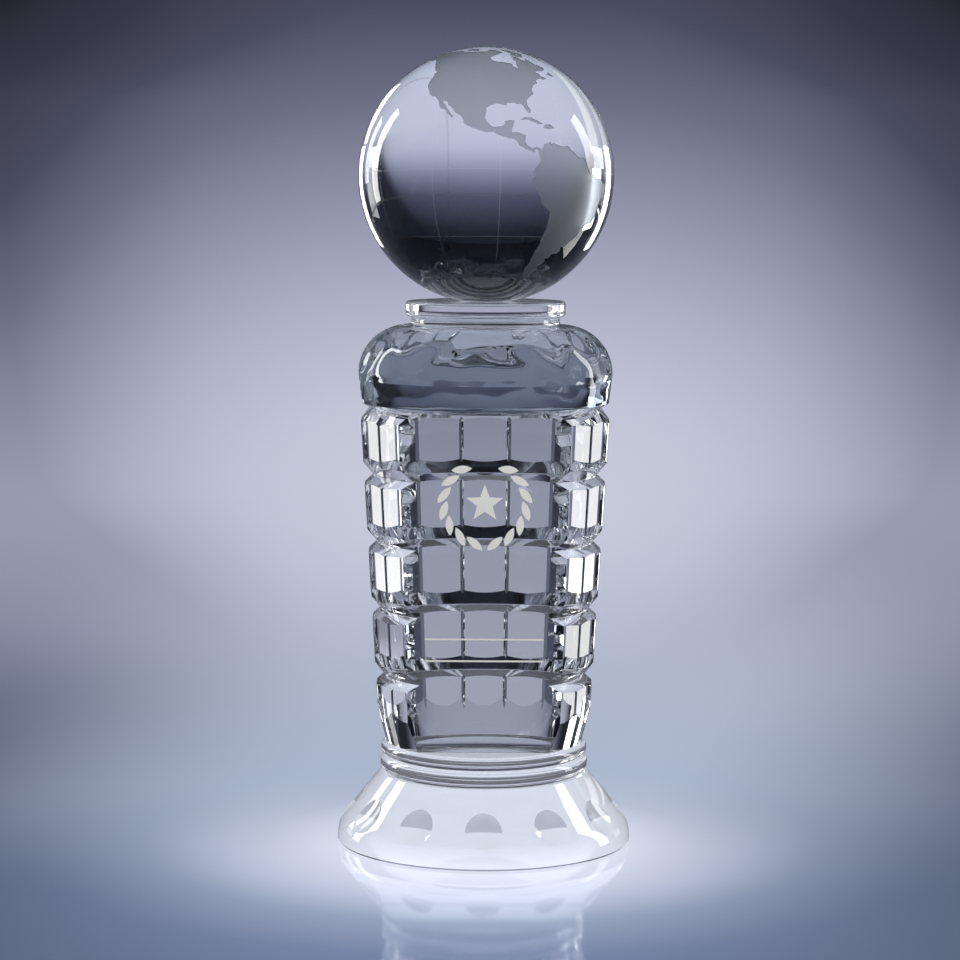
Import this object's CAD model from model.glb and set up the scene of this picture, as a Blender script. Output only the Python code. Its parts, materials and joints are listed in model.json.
"""Looks of the crystal award: an etched globe on a cut and bonded crystal pedestal, in a plain studio."""

import json
import logging
import math
import random
from dataclasses import dataclass
from enum import Enum
from typing import Any, Callable, Optional, Sequence, Union

import bmesh
import bpy
import numpy as np
from mathutils import Matrix, Vector
from mathutils.geometry import delaunay_2d_cdt

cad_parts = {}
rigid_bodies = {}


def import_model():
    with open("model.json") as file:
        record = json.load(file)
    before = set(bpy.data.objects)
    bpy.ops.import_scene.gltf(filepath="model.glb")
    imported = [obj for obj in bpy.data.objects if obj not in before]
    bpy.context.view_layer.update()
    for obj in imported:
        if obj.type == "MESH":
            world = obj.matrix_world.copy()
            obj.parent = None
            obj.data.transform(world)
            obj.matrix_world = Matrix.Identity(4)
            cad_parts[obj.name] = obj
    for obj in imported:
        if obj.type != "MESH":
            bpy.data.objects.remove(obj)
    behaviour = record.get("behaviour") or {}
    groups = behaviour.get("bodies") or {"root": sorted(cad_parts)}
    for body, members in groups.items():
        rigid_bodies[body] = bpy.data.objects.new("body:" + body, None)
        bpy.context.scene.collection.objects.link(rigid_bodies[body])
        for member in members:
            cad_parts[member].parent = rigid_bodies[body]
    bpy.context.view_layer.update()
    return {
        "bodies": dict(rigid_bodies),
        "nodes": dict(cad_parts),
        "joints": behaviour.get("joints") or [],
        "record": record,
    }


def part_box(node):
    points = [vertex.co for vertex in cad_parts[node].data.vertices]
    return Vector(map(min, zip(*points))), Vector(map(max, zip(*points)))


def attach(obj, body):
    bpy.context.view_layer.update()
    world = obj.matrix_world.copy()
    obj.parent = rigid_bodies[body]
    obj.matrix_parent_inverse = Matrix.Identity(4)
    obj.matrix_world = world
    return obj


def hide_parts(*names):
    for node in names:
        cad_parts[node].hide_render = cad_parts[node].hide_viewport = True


LOG = logging.getLogger("crystal_award")
MM = 0.001
TOUCH = 1e-3
FACING = 0.99
NEARLY_ALIGNED = 0.999
ALIGNED = 0.9999
CRYSTAL_IOR = 1.52
BOND_IOR = 1.5
Mesh = bpy.types.Mesh
Object = bpy.types.Object
Material = bpy.types.Material
Pair = tuple[float, float]
Colour = tuple[float, float, float]
Ramp = tuple[tuple[float, Colour], ...]
Steps = tuple[Pair, ...]
Value = Union["Wire", float, tuple]
Inputs = dict[Union[str, int], Value]
BLACK: Colour = (0.0, 0.0, 0.0)
WHITE: Colour = (1.0, 1.0, 1.0)


class Face(Enum):
    """Kind of a crystal face, in the order of the materials on a piece."""

    POLISHED = 0
    BONDED = 1
    ETCHED = 2
    GROUND = 2
    PANEL = 2
    DIMPLED = 3
    GROOVED = 3
    SCRIBED = 3
    RIM = 4


class Wire:
    """An output socket that takes part in Python arithmetic."""

    def __init__(self, graph: "Graph", socket: bpy.types.NodeSocket) -> None:
        """Keeps the graph and the socket."""
        self.graph = graph
        self.socket = socket

    def apply(self, operation: str, other: Value = 0.0) -> "Wire":
        """Adds a Math node behind this wire."""
        return self.graph.maths(operation, self, other)

    def __add__(self, other: Value) -> "Wire":
        """self + other."""
        return self.apply("ADD", other)

    __radd__ = __add__

    def __sub__(self, other: Value) -> "Wire":
        """self - other."""
        return self.apply("SUBTRACT", other)

    def __rsub__(self, other: Value) -> "Wire":
        """other - self."""
        return self.graph.maths("SUBTRACT", other, self)

    def __mul__(self, other: Value) -> "Wire":
        """self * other."""
        return self.apply("MULTIPLY", other)

    __rmul__ = __mul__

    def __truediv__(self, other: Value) -> "Wire":
        """self / other."""
        return self.apply("DIVIDE", other)

    def __rtruediv__(self, other: Value) -> "Wire":
        """other / self."""
        return self.graph.maths("DIVIDE", other, self)

    def __pow__(self, other: Value) -> "Wire":
        """self ** other."""
        return self.apply("POWER", other)

    def __rpow__(self, other: Value) -> "Wire":
        """other ** self."""
        return self.graph.maths("POWER", other, self)


class Graph:
    """The node tree of a material or of the world."""

    HAZE_SCALE = 900.0
    HAZE_DETAIL = 3.0

    def __init__(self, tree: bpy.types.NodeTree) -> None:
        """Empties the tree."""
        self.tree = tree
        tree.nodes.clear()

    def node(
        self,
        kind: str,
        settings: Optional[dict[str, Any]] = None,
        inputs: Optional[Inputs] = None,
        output: Union[str, int] = 0,
    ) -> Wire:
        """Adds a node.

        Args:
            kind: Node type.
            settings: Properties of the node, set first; "stops" are those of a colour ramp.
            inputs: Values or wires of its sockets, by name or place.
            output: Socket that the returned wire leaves from.

        Returns:
            A wire from that output.
        """
        made = self.tree.nodes.new(kind)
        for name, value in (settings or {}).items():
            if name == "stops":
                ramp = made.color_ramp
                for at, _ in value[len(ramp.elements) :]:
                    ramp.elements.new(at)
                for element, (at, colour) in zip(ramp.elements, value):
                    element.position = at
                    element.color = (*colour, 1.0)
            else:
                setattr(made, name, value)
        for name, value in (inputs or {}).items():
            socket = made.inputs[name]
            if isinstance(value, Wire):
                self.tree.links.new(value.socket, socket)
            elif isinstance(value, tuple) and len(socket.default_value) == 4:
                socket.default_value = (*value, 1.0)
            else:
                socket.default_value = value
        return Wire(self, made.outputs[output] if made.outputs else None)

    def maths(self, operation: str, a: Value, b: Value) -> Wire:
        """A Math node."""
        return self.node("ShaderNodeMath", {"operation": operation}, {0: a, 1: b})

    def place(self) -> Wire:
        """Coordinates in metres, which are the row frame's on every piece."""
        return self.node("ShaderNodeTexCoord", output="Object")

    def axes(self) -> list[Wire]:
        """The coordinates one by one."""
        place = self.place()
        return [self.node("ShaderNodeSeparateXYZ", inputs={0: place}, output=k) for k in ("X", "Y", "Z")]

    def noise(self, scale: float, detail: float = 2.0) -> Wire:
        """Noise from 0 to 1 at a scale in cycles per metre."""
        inputs = {"Vector": self.place(), "Scale": scale, "Detail": detail}
        return self.node("ShaderNodeTexNoise", inputs=inputs)

    def haze(self) -> Wire:
        """The fine haze that polishing leaves."""
        return self.noise(self.HAZE_SCALE, self.HAZE_DETAIL)

    def ramp(self, at: Value, stops: Ramp) -> Wire:
        """A colour ramp over a value."""
        return self.node("ShaderNodeValToRGB", {"stops": stops}, {"Fac": at})

    def grey(self, at: Value, stops: Steps) -> Wire:
        """A ramp of plain numbers."""
        return self.ramp(at, tuple((step, (v, v, v)) for step, v in stops))

    def rise(self, value: Wire, span: Pair) -> Wire:
        """A smooth step from 0 to 1 over a span of values."""
        inputs = {"Value": value, "From Min": span[0], "From Max": span[1]}
        return self.node("ShaderNodeMapRange", {"interpolation_type": "SMOOTHSTEP"}, inputs)

    def blend(self, share: Value, a: Value, b: Value) -> Wire:
        """A mix of two colours."""
        return self.node("ShaderNodeMix", {"data_type": "RGBA"}, {0: share, 6: a, 7: b}, output=2)

    def merge(self, share: Value, a: Wire, b: Wire) -> Wire:
        """A mix of two shaders."""
        return self.node("ShaderNodeMixShader", inputs={0: share, 1: a, 2: b})

    def bump(self, height: Wire, depth: float) -> Wire:
        """A normal bent by a height field that is depth metres deep."""
        return self.node("ShaderNodeBump", inputs={"Distance": depth, "Height": height}, output="Normal")

    def shader(self, inputs: Inputs) -> Wire:
        """A Principled shader."""
        return self.node("ShaderNodeBsdfPrincipled", inputs=inputs)

    def emission(self, colour: Value) -> Wire:
        """A glow of strength 1."""
        return self.node("ShaderNodeEmission", inputs={"Color": colour})

    def surface(self, shader: Wire, kind: str = "ShaderNodeOutputMaterial") -> None:
        """Ends the tree with its output."""
        self.node(kind, inputs={"Surface": shader})

    def ray(self, kind: str) -> Wire:
        """1 for rays of a kind and 0 for the rest."""
        return self.node("ShaderNodeLightPath", output=f"Is {kind} Ray")

    def looked_at(self) -> Wire:
        """1 for rays from the camera, a reflection or a refraction, and 0 for the rest."""
        total = self.ray("Camera") + self.ray("Glossy") + self.ray("Transmission")
        return total.apply("MINIMUM", 1.0)


def new_material(name: str) -> tuple[Material, Graph]:
    """A new material and its empty graph.

    Args:
        name: Name of the material.

    Returns:
        The material, and the graph of its nodes.
    """
    material = bpy.data.materials.new(name)
    material.use_nodes = True
    return material, Graph(material.node_tree)


@dataclass(frozen=True)
class Finish:
    """A finish of one material, told by the inputs of a Principled shader."""

    name: str

    def inputs(self, g: Graph) -> Inputs:
        """The shader's inputs."""
        raise NotImplementedError

    def material(self) -> Material:
        """Builds the material.

        Returns:
            The finished material.
        """
        made, g = new_material(self.name)
        g.surface(g.shader(self.inputs(g)))
        return made


@dataclass(frozen=True)
class ClearCrystal(Finish):
    """Polished clear crystal, with the faint ripple and haze that polishing leaves."""

    tint: Colour = (0.985, 0.992, 1.0)
    ripple_scale: float = 70.0
    ripple_depth: float = 8e-6
    haze: float = 0.012
    ripple_detail: float = 1.5
    calm_below: Optional[float] = None
    calm_rise: float = 0.008
    calm_share: float = 0.1

    def inputs(self, g: Graph) -> Inputs:
        """The shader's inputs.

        Args:
            g: Graph of the material.

        Returns:
            Values and wires of its sockets, by name.
        """
        ripple = g.noise(self.ripple_scale, self.ripple_detail)
        if self.calm_below is not None:
            height = (g.axes()[2] - self.calm_below) / self.calm_rise
            ripple = ripple * g.grey(height, ((0.0, self.calm_share), (1.0, 1.0)))
        return {
            "Base Color": self.tint,
            "Roughness": g.haze() * self.haze,
            "IOR": CRYSTAL_IOR,
            "Transmission Weight": 1.0,
            "Normal": g.bump(ripple, self.ripple_depth),
        }


@dataclass(frozen=True)
class BondedFace(Finish):
    """A face inside a bond, which hardly shows because the adhesive has the crystal's own index."""

    tint: Colour = (0.92, 0.95, 0.97)
    veil: float = 0.012
    cloud_scale: float = 260.0
    rough: Pair = (0.08, 0.06)

    def inputs(self, g: Graph) -> Inputs:
        """The shader's inputs.

        Args:
            g: Graph of the material.

        Returns:
            Values and wires of its sockets, by name.
        """
        cloud = g.noise(self.cloud_scale)
        return {
            "Base Color": g.blend(cloud, self.tint, WHITE),
            "Roughness": self.rough[0] + cloud * self.rough[1],
            "IOR": BOND_IOR,
            "Transmission Weight": 1.0,
            "Alpha": cloud * (2 * self.veil),
        }


@dataclass(frozen=True)
class EtchedFrost(Finish):
    """Sand-etched crystal: a grey translucent frost with a fine grain."""

    dark: Colour = (0.34, 0.385, 0.445)
    light: Colour = (0.42, 0.465, 0.525)
    transmission: float = 0.8
    roughness: float = 0.46
    grain_scale: float = 4200.0
    grain_rough: float = 0.16
    grain_depth: float = 2e-5
    cloud_scale: float = 160.0
    cloud_detail: float = 3.0
    shares: Pair = (0.6, 0.4)

    def inputs(self, g: Graph) -> Inputs:
        """The shader's inputs.

        Args:
            g: Graph of the material.

        Returns:
            Values and wires of its sockets, by name.
        """
        grain = g.noise(self.grain_scale)
        cloud = g.noise(self.cloud_scale, self.cloud_detail)
        return {
            "Base Color": g.blend(cloud * self.shares[0] + grain * self.shares[1], self.dark, self.light),
            "Roughness": self.roughness + grain * self.grain_rough,
            "IOR": CRYSTAL_IOR,
            "Transmission Weight": self.transmission,
            "Normal": g.bump(grain, self.grain_depth),
        }


@dataclass(frozen=True)
class WhiteFill(Finish):
    """Matt white fill in the engraved pockets."""

    dark: Colour = (0.80, 0.80, 0.77)
    light: Colour = (0.93, 0.93, 0.90)
    grain_scale: float = 3600.0
    grain_detail: float = 3.0
    grain_depth: float = 3e-5
    cloud_scale: float = 220.0
    shares: Pair = (0.5, 0.5)
    rough: Pair = (0.62, 0.2)

    def inputs(self, g: Graph) -> Inputs:
        """The shader's inputs.

        Args:
            g: Graph of the material.

        Returns:
            Values and wires of its sockets, by name.
        """
        grain = g.noise(self.grain_scale, self.grain_detail)
        cloud = g.noise(self.cloud_scale)
        return {
            "Base Color": g.blend(cloud * self.shares[0] + grain * self.shares[1], self.dark, self.light),
            "Roughness": self.rough[0] + grain * self.rough[1],
            "Normal": g.bump(grain, self.grain_depth),
        }


@dataclass(frozen=True)
class DimpleCrystal(Finish):
    """Polished hollow, whose upper half shows the grey backdrop and whose lower half the floor."""

    split: float
    upper: Colour = (0.42, 0.43, 0.46)
    lower: Colour = WHITE
    sharpness: float = 2500.0
    haze: float = 0.012

    def inputs(self, g: Graph) -> Inputs:
        """The shader's inputs.

        Args:
            g: Graph of the material.

        Returns:
            Values and wires of its sockets, by name.
        """
        height = (g.axes()[2] - self.split) * self.sharpness + 0.5
        return {
            "Base Color": g.ramp(height, ((0.0, self.lower), (1.0, self.upper))),
            "Roughness": g.haze() * self.haze,
            "IOR": CRYSTAL_IOR,
            "Transmission Weight": 1.0,
        }


@dataclass(frozen=True)
class GroundFace(Finish):
    """Finely ground underside, through which the pale floor that it rests on still shows."""

    tint: Colour = (0.92, 0.94, 0.97)
    cover: float = 0.14
    grain_scale: float = 3800.0
    grain_depth: float = 2e-5
    cloud_scale: float = 60.0
    cloud_detail: float = 1.0
    rough: Pair = (0.5, 0.2)
    transmission: float = 0.6

    def inputs(self, g: Graph) -> Inputs:
        """The shader's inputs.

        Args:
            g: Graph of the material.

        Returns:
            Values and wires of its sockets, by name.
        """
        grain = g.noise(self.grain_scale)
        cloud = g.noise(self.cloud_scale, self.cloud_detail)
        return {
            "Base Color": g.blend(cloud, self.tint, WHITE),
            "Roughness": self.rough[0] + grain * self.rough[1],
            "IOR": BOND_IOR,
            "Transmission Weight": self.transmission,
            "Alpha": (cloud * 0.5 + grain) * self.cover,
            "Normal": g.bump(grain, self.grain_depth),
        }


@dataclass(frozen=True)
class StudioSweep:
    """Pale floor that runs up into a spot-lit lilac-grey wall, glossy round the foot.

    The wall and floor darken towards the sides only where they are looked at directly. Through crystal
    they show evenly lit, with the bright floor by the side lamps, and in reflections they are dimmer.
    """

    name: str
    before: Ramp = (
        (0.0, (0.90, 0.92, 0.98)), (0.056, (0.72, 0.75, 0.87)), (0.10, (0.48, 0.53, 0.68)),
        (0.135, (0.25, 0.31, 0.45)), (0.18, (0.13, 0.18, 0.32)), (0.24, (0.085, 0.135, 0.25)),
        (0.50, (0.17, 0.22, 0.34)), (0.90, (0.43, 0.46, 0.58)),
    )
    behind: Ramp = (
        (0.0, (0.90, 0.92, 0.98)), (0.056, (0.56, 0.59, 0.72)), (0.085, (0.42, 0.47, 0.59)),
        (0.14, (0.37, 0.435, 0.56)), (0.31, (0.38, 0.425, 0.54)), (0.70, (0.39, 0.42, 0.535)),
        (1.0, (0.475, 0.495, 0.605)),
    )
    far: Ramp = (
        (0.0, (0.575, 0.595, 0.715)), (0.09, (0.53, 0.55, 0.67)), (0.19, (0.42, 0.437, 0.555)),
        (0.30, (0.275, 0.286, 0.388)), (0.41, (0.146, 0.152, 0.225)), (0.52, (0.064, 0.068, 0.110)),
        (0.68, (0.034, 0.037, 0.062)), (0.86, (0.022, 0.024, 0.040)), (1.0, (0.006, 0.007, 0.012)),
    )
    in_glass: Ramp = (
        (0.0, (0.77, 0.81, 0.92)), (0.056, (0.77, 0.81, 0.92)), (0.10, (0.65, 0.69, 0.81)),
        (0.20, (0.59, 0.63, 0.75)), (0.50, (0.58, 0.60, 0.70)), (1.0, (0.60, 0.61, 0.71)),
    )
    far_in_glass: Ramp = (
        (0.0, (0.575, 0.595, 0.715)), (0.09, (0.52, 0.54, 0.66)), (0.19, (0.40, 0.415, 0.53)),
        (0.30, (0.265, 0.276, 0.375)), (0.41, (0.160, 0.166, 0.24)), (0.52, (0.082, 0.085, 0.133)),
        (0.64, (0.050, 0.053, 0.085)), (0.78, (0.024, 0.027, 0.045)), (0.88, (0.008, 0.012, 0.021)),
        (1.0, (0.002, 0.005, 0.010)),
    )
    aside: Steps = ((0.06, 0.0), (0.12, 0.04), (0.22, 0.13), (0.36, 0.31), (0.45, 0.32))
    stretch: Steps = ((0.0, 0.28), (0.08, 0.335), (0.19, 0.4), (0.30, 0.455), (0.41, 0.5), (0.52, 0.88))
    round_glass: Steps = (
        (0.0, 1.0), (0.4, 0.96), (0.62, 0.88), (0.72, 0.72), (0.80, 0.25), (0.86, 0.03), (1.0, 0.0),
    )
    pools: tuple[tuple[float, float, float], ...] = ((73.0, 6.2, 1.0), (-63.5, 4.8, 1.0), (-46.5, 4.2, 0.95))
    pool_from: Pair = (0.2, 0.28)
    pool_below: Pair = (0.02, 0.08)
    shade: Colour = (0.05, 0.07, 0.13)
    dark_glass: Colour = (0.001, 0.003, 0.007)
    quarter: float = math.pi / 4
    height_scale: Pair = (1.2, 0.012)
    screen_lean: Pair = (0.35, 0.55)
    wall_from: Pair = (0.3, 1.1)
    glass_wall_from: Pair = (0.9, 1.25)
    matt_from: Pair = (0.45, 1.0)
    mirror_share: float = 0.18
    grain_scale: float = 40.0
    rough: Pair = (0.05, 0.03)
    gloss_colour: Colour = (0.08, 0.082, 0.088)
    matt_colour: Colour = (0.012, 0.012, 0.013)
    back_from: Pair = (-0.1, 0.1)
    middle_from: Pair = (-0.05, 0.4)
    middle_shift: Pair = (0.035, 0.012)
    edge_from: Pair = (0.05, 0.27)
    edge_spread: float = 0.11
    edge_fade_from: Pair = (0.2, 0.7)
    edge_fade: float = 0.35
    stretch_gain: float = 3.0

    def material(self) -> Material:
        """Builds the material.

        Returns:
            The finished material.
        """
        made, g = new_material(self.name)
        x, y, z = g.axes()
        reach = (x * x + y * y) ** 0.5
        turn = x.apply("ARCTAN2", y)
        side = turn.apply("PINGPONG", self.quarter) / self.quarter
        above = z * self.height_scale[0] + self.height_scale[1]
        direct = g.blend(g.rise(reach, self.wall_from), self.floor(g, x, y, reach), self.wall(g, side, above))
        through = self.through_glass(g, reach, z, turn, side, above)
        mirrored = g.blend(self.mirror_share, BLACK, direct)
        look = g.blend(g.ray("Transmission"), mirrored, through)
        glow = g.emission(g.blend(g.ray("Camera"), look, direct))
        glow = g.merge(g.looked_at(), g.emission(BLACK), glow)
        grain = self.rough[0] + g.noise(self.grain_scale) * self.rough[1]
        gloss = g.shader({"Base Color": self.gloss_colour, "Roughness": grain})
        matt = g.node("ShaderNodeBsdfDiffuse", inputs={"Color": self.matt_colour})
        base = g.merge(g.rise(reach, self.matt_from), gloss, matt)
        g.surface(g.node("ShaderNodeAddShader", inputs={0: base, 1: glow}))
        return made

    def through_glass(self, g: Graph, reach: Wire, z: Wire, turn: Wire, side: Wire, above: Wire) -> Wire:
        """Colour of the wall and floor where they are seen through crystal.

        Args:
            g: Graph of the material.
            reach: Distance from the axis.
            z: Height.
            turn: Angle round the axis, from the back.
            side: 0 at the back and at every quarter turn from it, 1 half-way between.
            above: Height on the scale of the wall's ramps.

        Returns:
            The colour.
        """
        low, lean = self.screen_lean
        screen = g.grey(side + (above - low) * lean, self.round_glass)
        wall = g.blend(screen, self.dark_glass, g.ramp(above, self.far_in_glass))
        glass = g.blend(g.rise(reach, self.glass_wall_from), g.ramp(reach, self.in_glass), wall)
        low_down = g.rise(reach, self.pool_from) * (1 - g.rise(z, self.pool_below))
        for at, half, v in self.pools:
            off = (turn - math.radians(at)).apply("ABSOLUTE")
            share = 1 - g.rise(off, (math.radians(half - 1), math.radians(half + 1)))
            glass = g.blend(share * low_down, glass, (v, v, v))
        return glass

    def wall(self, g: Graph, side: Wire, above: Wire) -> Wire:
        """Colour of the wall where it is looked at directly."""
        off = g.grey(side, self.aside) * g.grey(above, self.stretch) * self.stretch_gain
        return g.ramp((off * off + above * above) ** 0.5, self.far)

    def floor(self, g: Graph, x: Wire, y: Wire, reach: Wire) -> Wire:
        """Colour of the floor where it is looked at directly, which is darker off its middle.

        Args:
            g: Graph of the material.
            x: Distance to the right.
            y: Distance to the back.
            reach: Distance from the axis.

        Returns:
            The colour.
        """
        near = g.blend(g.rise(y, self.back_from), g.ramp(reach, self.before), g.ramp(reach, self.behind))
        middle = g.rise(y, self.middle_from) * self.middle_shift[0] - self.middle_shift[1]
        width = (x - middle).apply("ABSOLUTE") - y * self.edge_spread
        fade = 1 - g.rise(reach, self.edge_fade_from) * self.edge_fade
        return g.blend(g.rise(width, self.edge_from) * fade, near, self.shade)


@dataclass(frozen=True)
class Run:
    """One straight stretch of a turned section, with the normals at its ends."""

    start: Pair
    end: Pair
    start_normal: Pair
    end_normal: Pair
    face: Face


class Section:
    """Half section of a turned piece in millimetres, from the axis out, up and back to the axis."""

    BOW_STEPS = 20
    SLIGHT_DEG = 6
    STEPS_PER_DEG = (0.12, 0.4)
    STEPS_PER_DEG_MM = 0.06
    FEWEST_STEPS = 3

    def __init__(self, z: float = 0.0) -> None:
        """Starts on the axis."""
        self.points: list[tuple[float, float, float, Face, float]] = [(0.0, z, 0.0, Face.POLISHED, 0.0)]

    def line(self, r: float, z: float, corner: float = 0.0, face: Face = Face.POLISHED) -> "Section":
        """Goes straight to a point whose corner is rounded by a radius."""
        self.points.append((r, z, corner, face, 0.0))
        return self

    def bow(self, r: float, z: float, bulge: float) -> "Section":
        """Goes to a point on an arc that bulges outwards."""
        self.points.append((r, z, 0.0, Face.POLISHED, bulge))
        return self

    @staticmethod
    def _arc(centre: Pair, radius: float, a0: float, a1: float, face: Face, steps: int) -> list[Run]:
        """Runs along an arc, whose normals point away from the centre where it turns left.

        Args:
            centre: Centre of the arc.
            radius: Its radius.
            a0: Angle at its start.
            a1: Angle at its end.
            face: Kind of its faces.
            steps: Number of runs.

        Returns:
            The runs in order.
        """
        sign = 1.0 if a1 > a0 else -1.0
        ring = [a0 + (a1 - a0) * k / steps for k in range(steps + 1)]
        at = [(centre[0] + radius * math.cos(a), centre[1] + radius * math.sin(a)) for a in ring]
        n = [(sign * math.cos(a), sign * math.sin(a)) for a in ring]
        return [Run(at[k], at[k + 1], n[k], n[k + 1], face) for k in range(steps)]

    def runs(self) -> list[Run]:
        """The section as short runs with exact normals.

        Returns:
            The runs in order.
        """
        made: list[Run] = []
        at = np.array(self.points[0][:2])
        for i, (r, z, corner, face, bulge) in enumerate(self.points[1:], 1):
            end = np.array((r, z))
            if bulge:
                half = np.linalg.norm(end - at) / 2
                radius = (bulge**2 + half**2) / (2 * bulge)
                step = (end - at) / (2 * half)
                centre = (at + end) / 2 + np.array((-step[1], step[0])) * (radius - bulge)
                a0 = math.atan2(*(at - centre)[::-1])
                a1 = math.atan2(*(end - centre)[::-1])
                made += self._arc(tuple(centre), radius, a0, a1, Face.POLISHED, self.BOW_STEPS)
                at = end
                continue
            step = end - at
            long = np.linalg.norm(step)
            if long < 1e-9:
                continue
            step = step / long
            normal = (step[1], -step[0])
            stop = end
            arc: list[Run] = []
            if corner:
                following = np.array(self.points[i + 1][:2]) - end
                following = following / np.linalg.norm(following)
                turn = math.atan2(step[0] * following[1] - step[1] * following[0], step @ following)
                cut = corner * math.tan(abs(turn) / 2)
                stop = end - step * cut
                left = np.array((-step[1], step[0])) * math.copysign(1.0, turn)
                centre = stop + left * corner
                a0 = math.atan2(*(stop - centre)[::-1])
                coarse, fine = self.STEPS_PER_DEG
                dense = max(coarse, min(fine, corner * self.STEPS_PER_DEG_MM))
                steps = max(self.FEWEST_STEPS, int(math.degrees(abs(turn)) * dense))
                arc = self._arc(tuple(centre), corner, a0, a0 + turn, Face.POLISHED, steps)
            if np.linalg.norm(stop - at) > 1e-6:
                made.append(Run(tuple(at), tuple(stop), normal, normal, face))
            made += arc
            at = np.array(arc[-1].end) if arc else stop
        return self._eased(made)

    @staticmethod
    def _eased(runs: list[Run]) -> list[Run]:
        """Evens out the normals where two runs meet at a slight angle.

        Args:
            runs: The runs in order.

        Returns:
            The runs with the new normals.
        """
        made = list(runs)
        for k in range(len(made) - 1):
            a, b = made[k], made[k + 1]
            mean = np.array(a.end_normal) + np.array(b.start_normal)
            size = np.linalg.norm(mean)
            if size > 2 * math.cos(math.radians(Section.SLIGHT_DEG)):
                n = tuple(mean / size)
                made[k] = Run(a.start, a.end, a.start_normal, n, a.face)
                made[k + 1] = Run(b.start, b.end, n, b.end_normal, b.face)
        return made


class Solid:
    """A closed mesh in millimetres, with the kind and the exact normals of its faces."""

    def __init__(self) -> None:
        """Starts empty."""
        self.points: list[tuple[float, float, float]] = []
        self.faces: list[tuple[int, ...]] = []
        self.kinds: list[Face] = []
        self.normals: list[list[tuple[float, float, float]]] = []

    def add(self, face: Sequence[int], kind: Face, normals: Sequence[Sequence[float]]) -> None:
        """Adds a face with a normal for each corner.

        Args:
            face: Vertices of the face.
            kind: Kind of the face.
            normals: Normal at each vertex.
        """
        self.faces.append(tuple(face))
        self.kinds.append(kind)
        self.normals.append([tuple(n) for n in normals])

    def turn(
        self, runs: Sequence[Run], segments: int, base: float, chords: Optional[dict[float, float]] = None
    ) -> None:
        """Turns a section about the axis.

        Args:
            runs: The section, from axis to axis.
            segments: Number of segments round the axis.
            base: Height of the section's zero.
            chords: Angles from the front, by height, outside which a bonded disc is bonded.
        """
        ring = [2 * math.pi * (k / segments) - math.pi / 2 for k in range(segments)]
        cos, sin = [math.cos(a) for a in ring], [math.sin(a) for a in ring]
        starts: dict[Pair, int] = {}

        def circle(at: Pair) -> int:
            """First vertex of the circle at a section point.

            Args:
                at: Point of the section.

            Returns:
                Index of the vertex.
            """
            key = (round(at[0], 6), round(at[1], 6))
            if key not in starts:
                starts[key] = len(self.points)
                self.points.extend((at[0] * c, at[0] * s, at[1] + base) for c, s in zip(cos, sin))
            return starts[key]

        for run in runs:
            ends = (run.start, run.end)
            if min(ends[0][0], ends[1][0]) < 1e-6:
                outer = max(ends, key=lambda p: p[0])
                first = circle(outer)
                up = run.start_normal[1] > 0
                loop = [first + k for k in range(segments)]
                pieces = [(loop, run.face)]
                edge = (chords or {}).get(round(outer[1], 6))
                if edge:
                    n = int(edge / (2 * math.pi) * segments)
                    front = loop[segments - n :] + loop[: n + 1]
                    pieces = [(loop[n : segments - n + 1], run.face), (front, Face.POLISHED)]
                for part, kind in pieces:
                    self.add(part if up else part[::-1], kind, [(0, 0, 1 if up else -1)] * len(part))
                continue
            low, high = circle(ends[0]), circle(ends[1])
            a, b = run.start_normal, run.end_normal
            for k in range(segments):
                j = (k + 1) % segments
                corners = ((a, k), (a, j), (b, j), (b, k))
                normals = [(n[0] * cos[i], n[0] * sin[i], n[1]) for n, i in corners]
                self.add((low + k, low + j, high + j, high + k), run.face, normals)

    def mesh(self, name: str) -> Mesh:
        """The mesh in metres, with its kinds and normals.

        Args:
            name: Name of the mesh.

        Returns:
            The mesh.
        """
        made = bpy.data.meshes.new(name)
        made.from_pydata([tuple(c * MM for c in p) for p in self.points], [], self.faces)
        made.polygons.foreach_set("material_index", [k.value for k in self.kinds])
        made.polygons.foreach_set("use_smooth", [True] * len(self.faces))
        made.normals_split_custom_set([n for face in self.normals for n in face])
        return made


def turned_mesh(
    name: str, runs: Sequence[Run], segments: int, base: float, chords: Optional[dict[float, float]] = None
) -> Mesh:
    """The mesh of a section turned about the axis, with its zero at a height.

    Args:
        name: Name of the mesh.
        runs: The section, from axis to axis.
        segments: Number of segments round the axis.
        base: Height of the section's zero.
        chords: Angles from the front, by height, outside which a bonded disc is bonded.

    Returns:
        The mesh in metres.
    """
    solid = Solid()
    solid.turn(runs, segments, base, chords)
    return solid.mesh(name)


def to_mesh(made: bmesh.types.BMesh, mesh: Mesh) -> Mesh:
    """Writes an edit mesh into a mesh and frees it.

    Args:
        made: Edit mesh to write.
        mesh: Mesh to write it into.

    Returns:
        That mesh.
    """
    made.to_mesh(mesh)
    made.free()
    return mesh


def new_piece(name: str, mesh: Mesh, materials: Sequence[Material]) -> Object:
    """Links an object with a mesh and its materials into the scene.

    Args:
        name: Name of the object.
        mesh: Its mesh.
        materials: Materials of the mesh, in order.

    Returns:
        The object.
    """
    made = bpy.data.objects.new(name, mesh)
    for material in materials:
        mesh.materials.append(material)
    bpy.context.scene.collection.objects.link(made)
    return made


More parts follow.
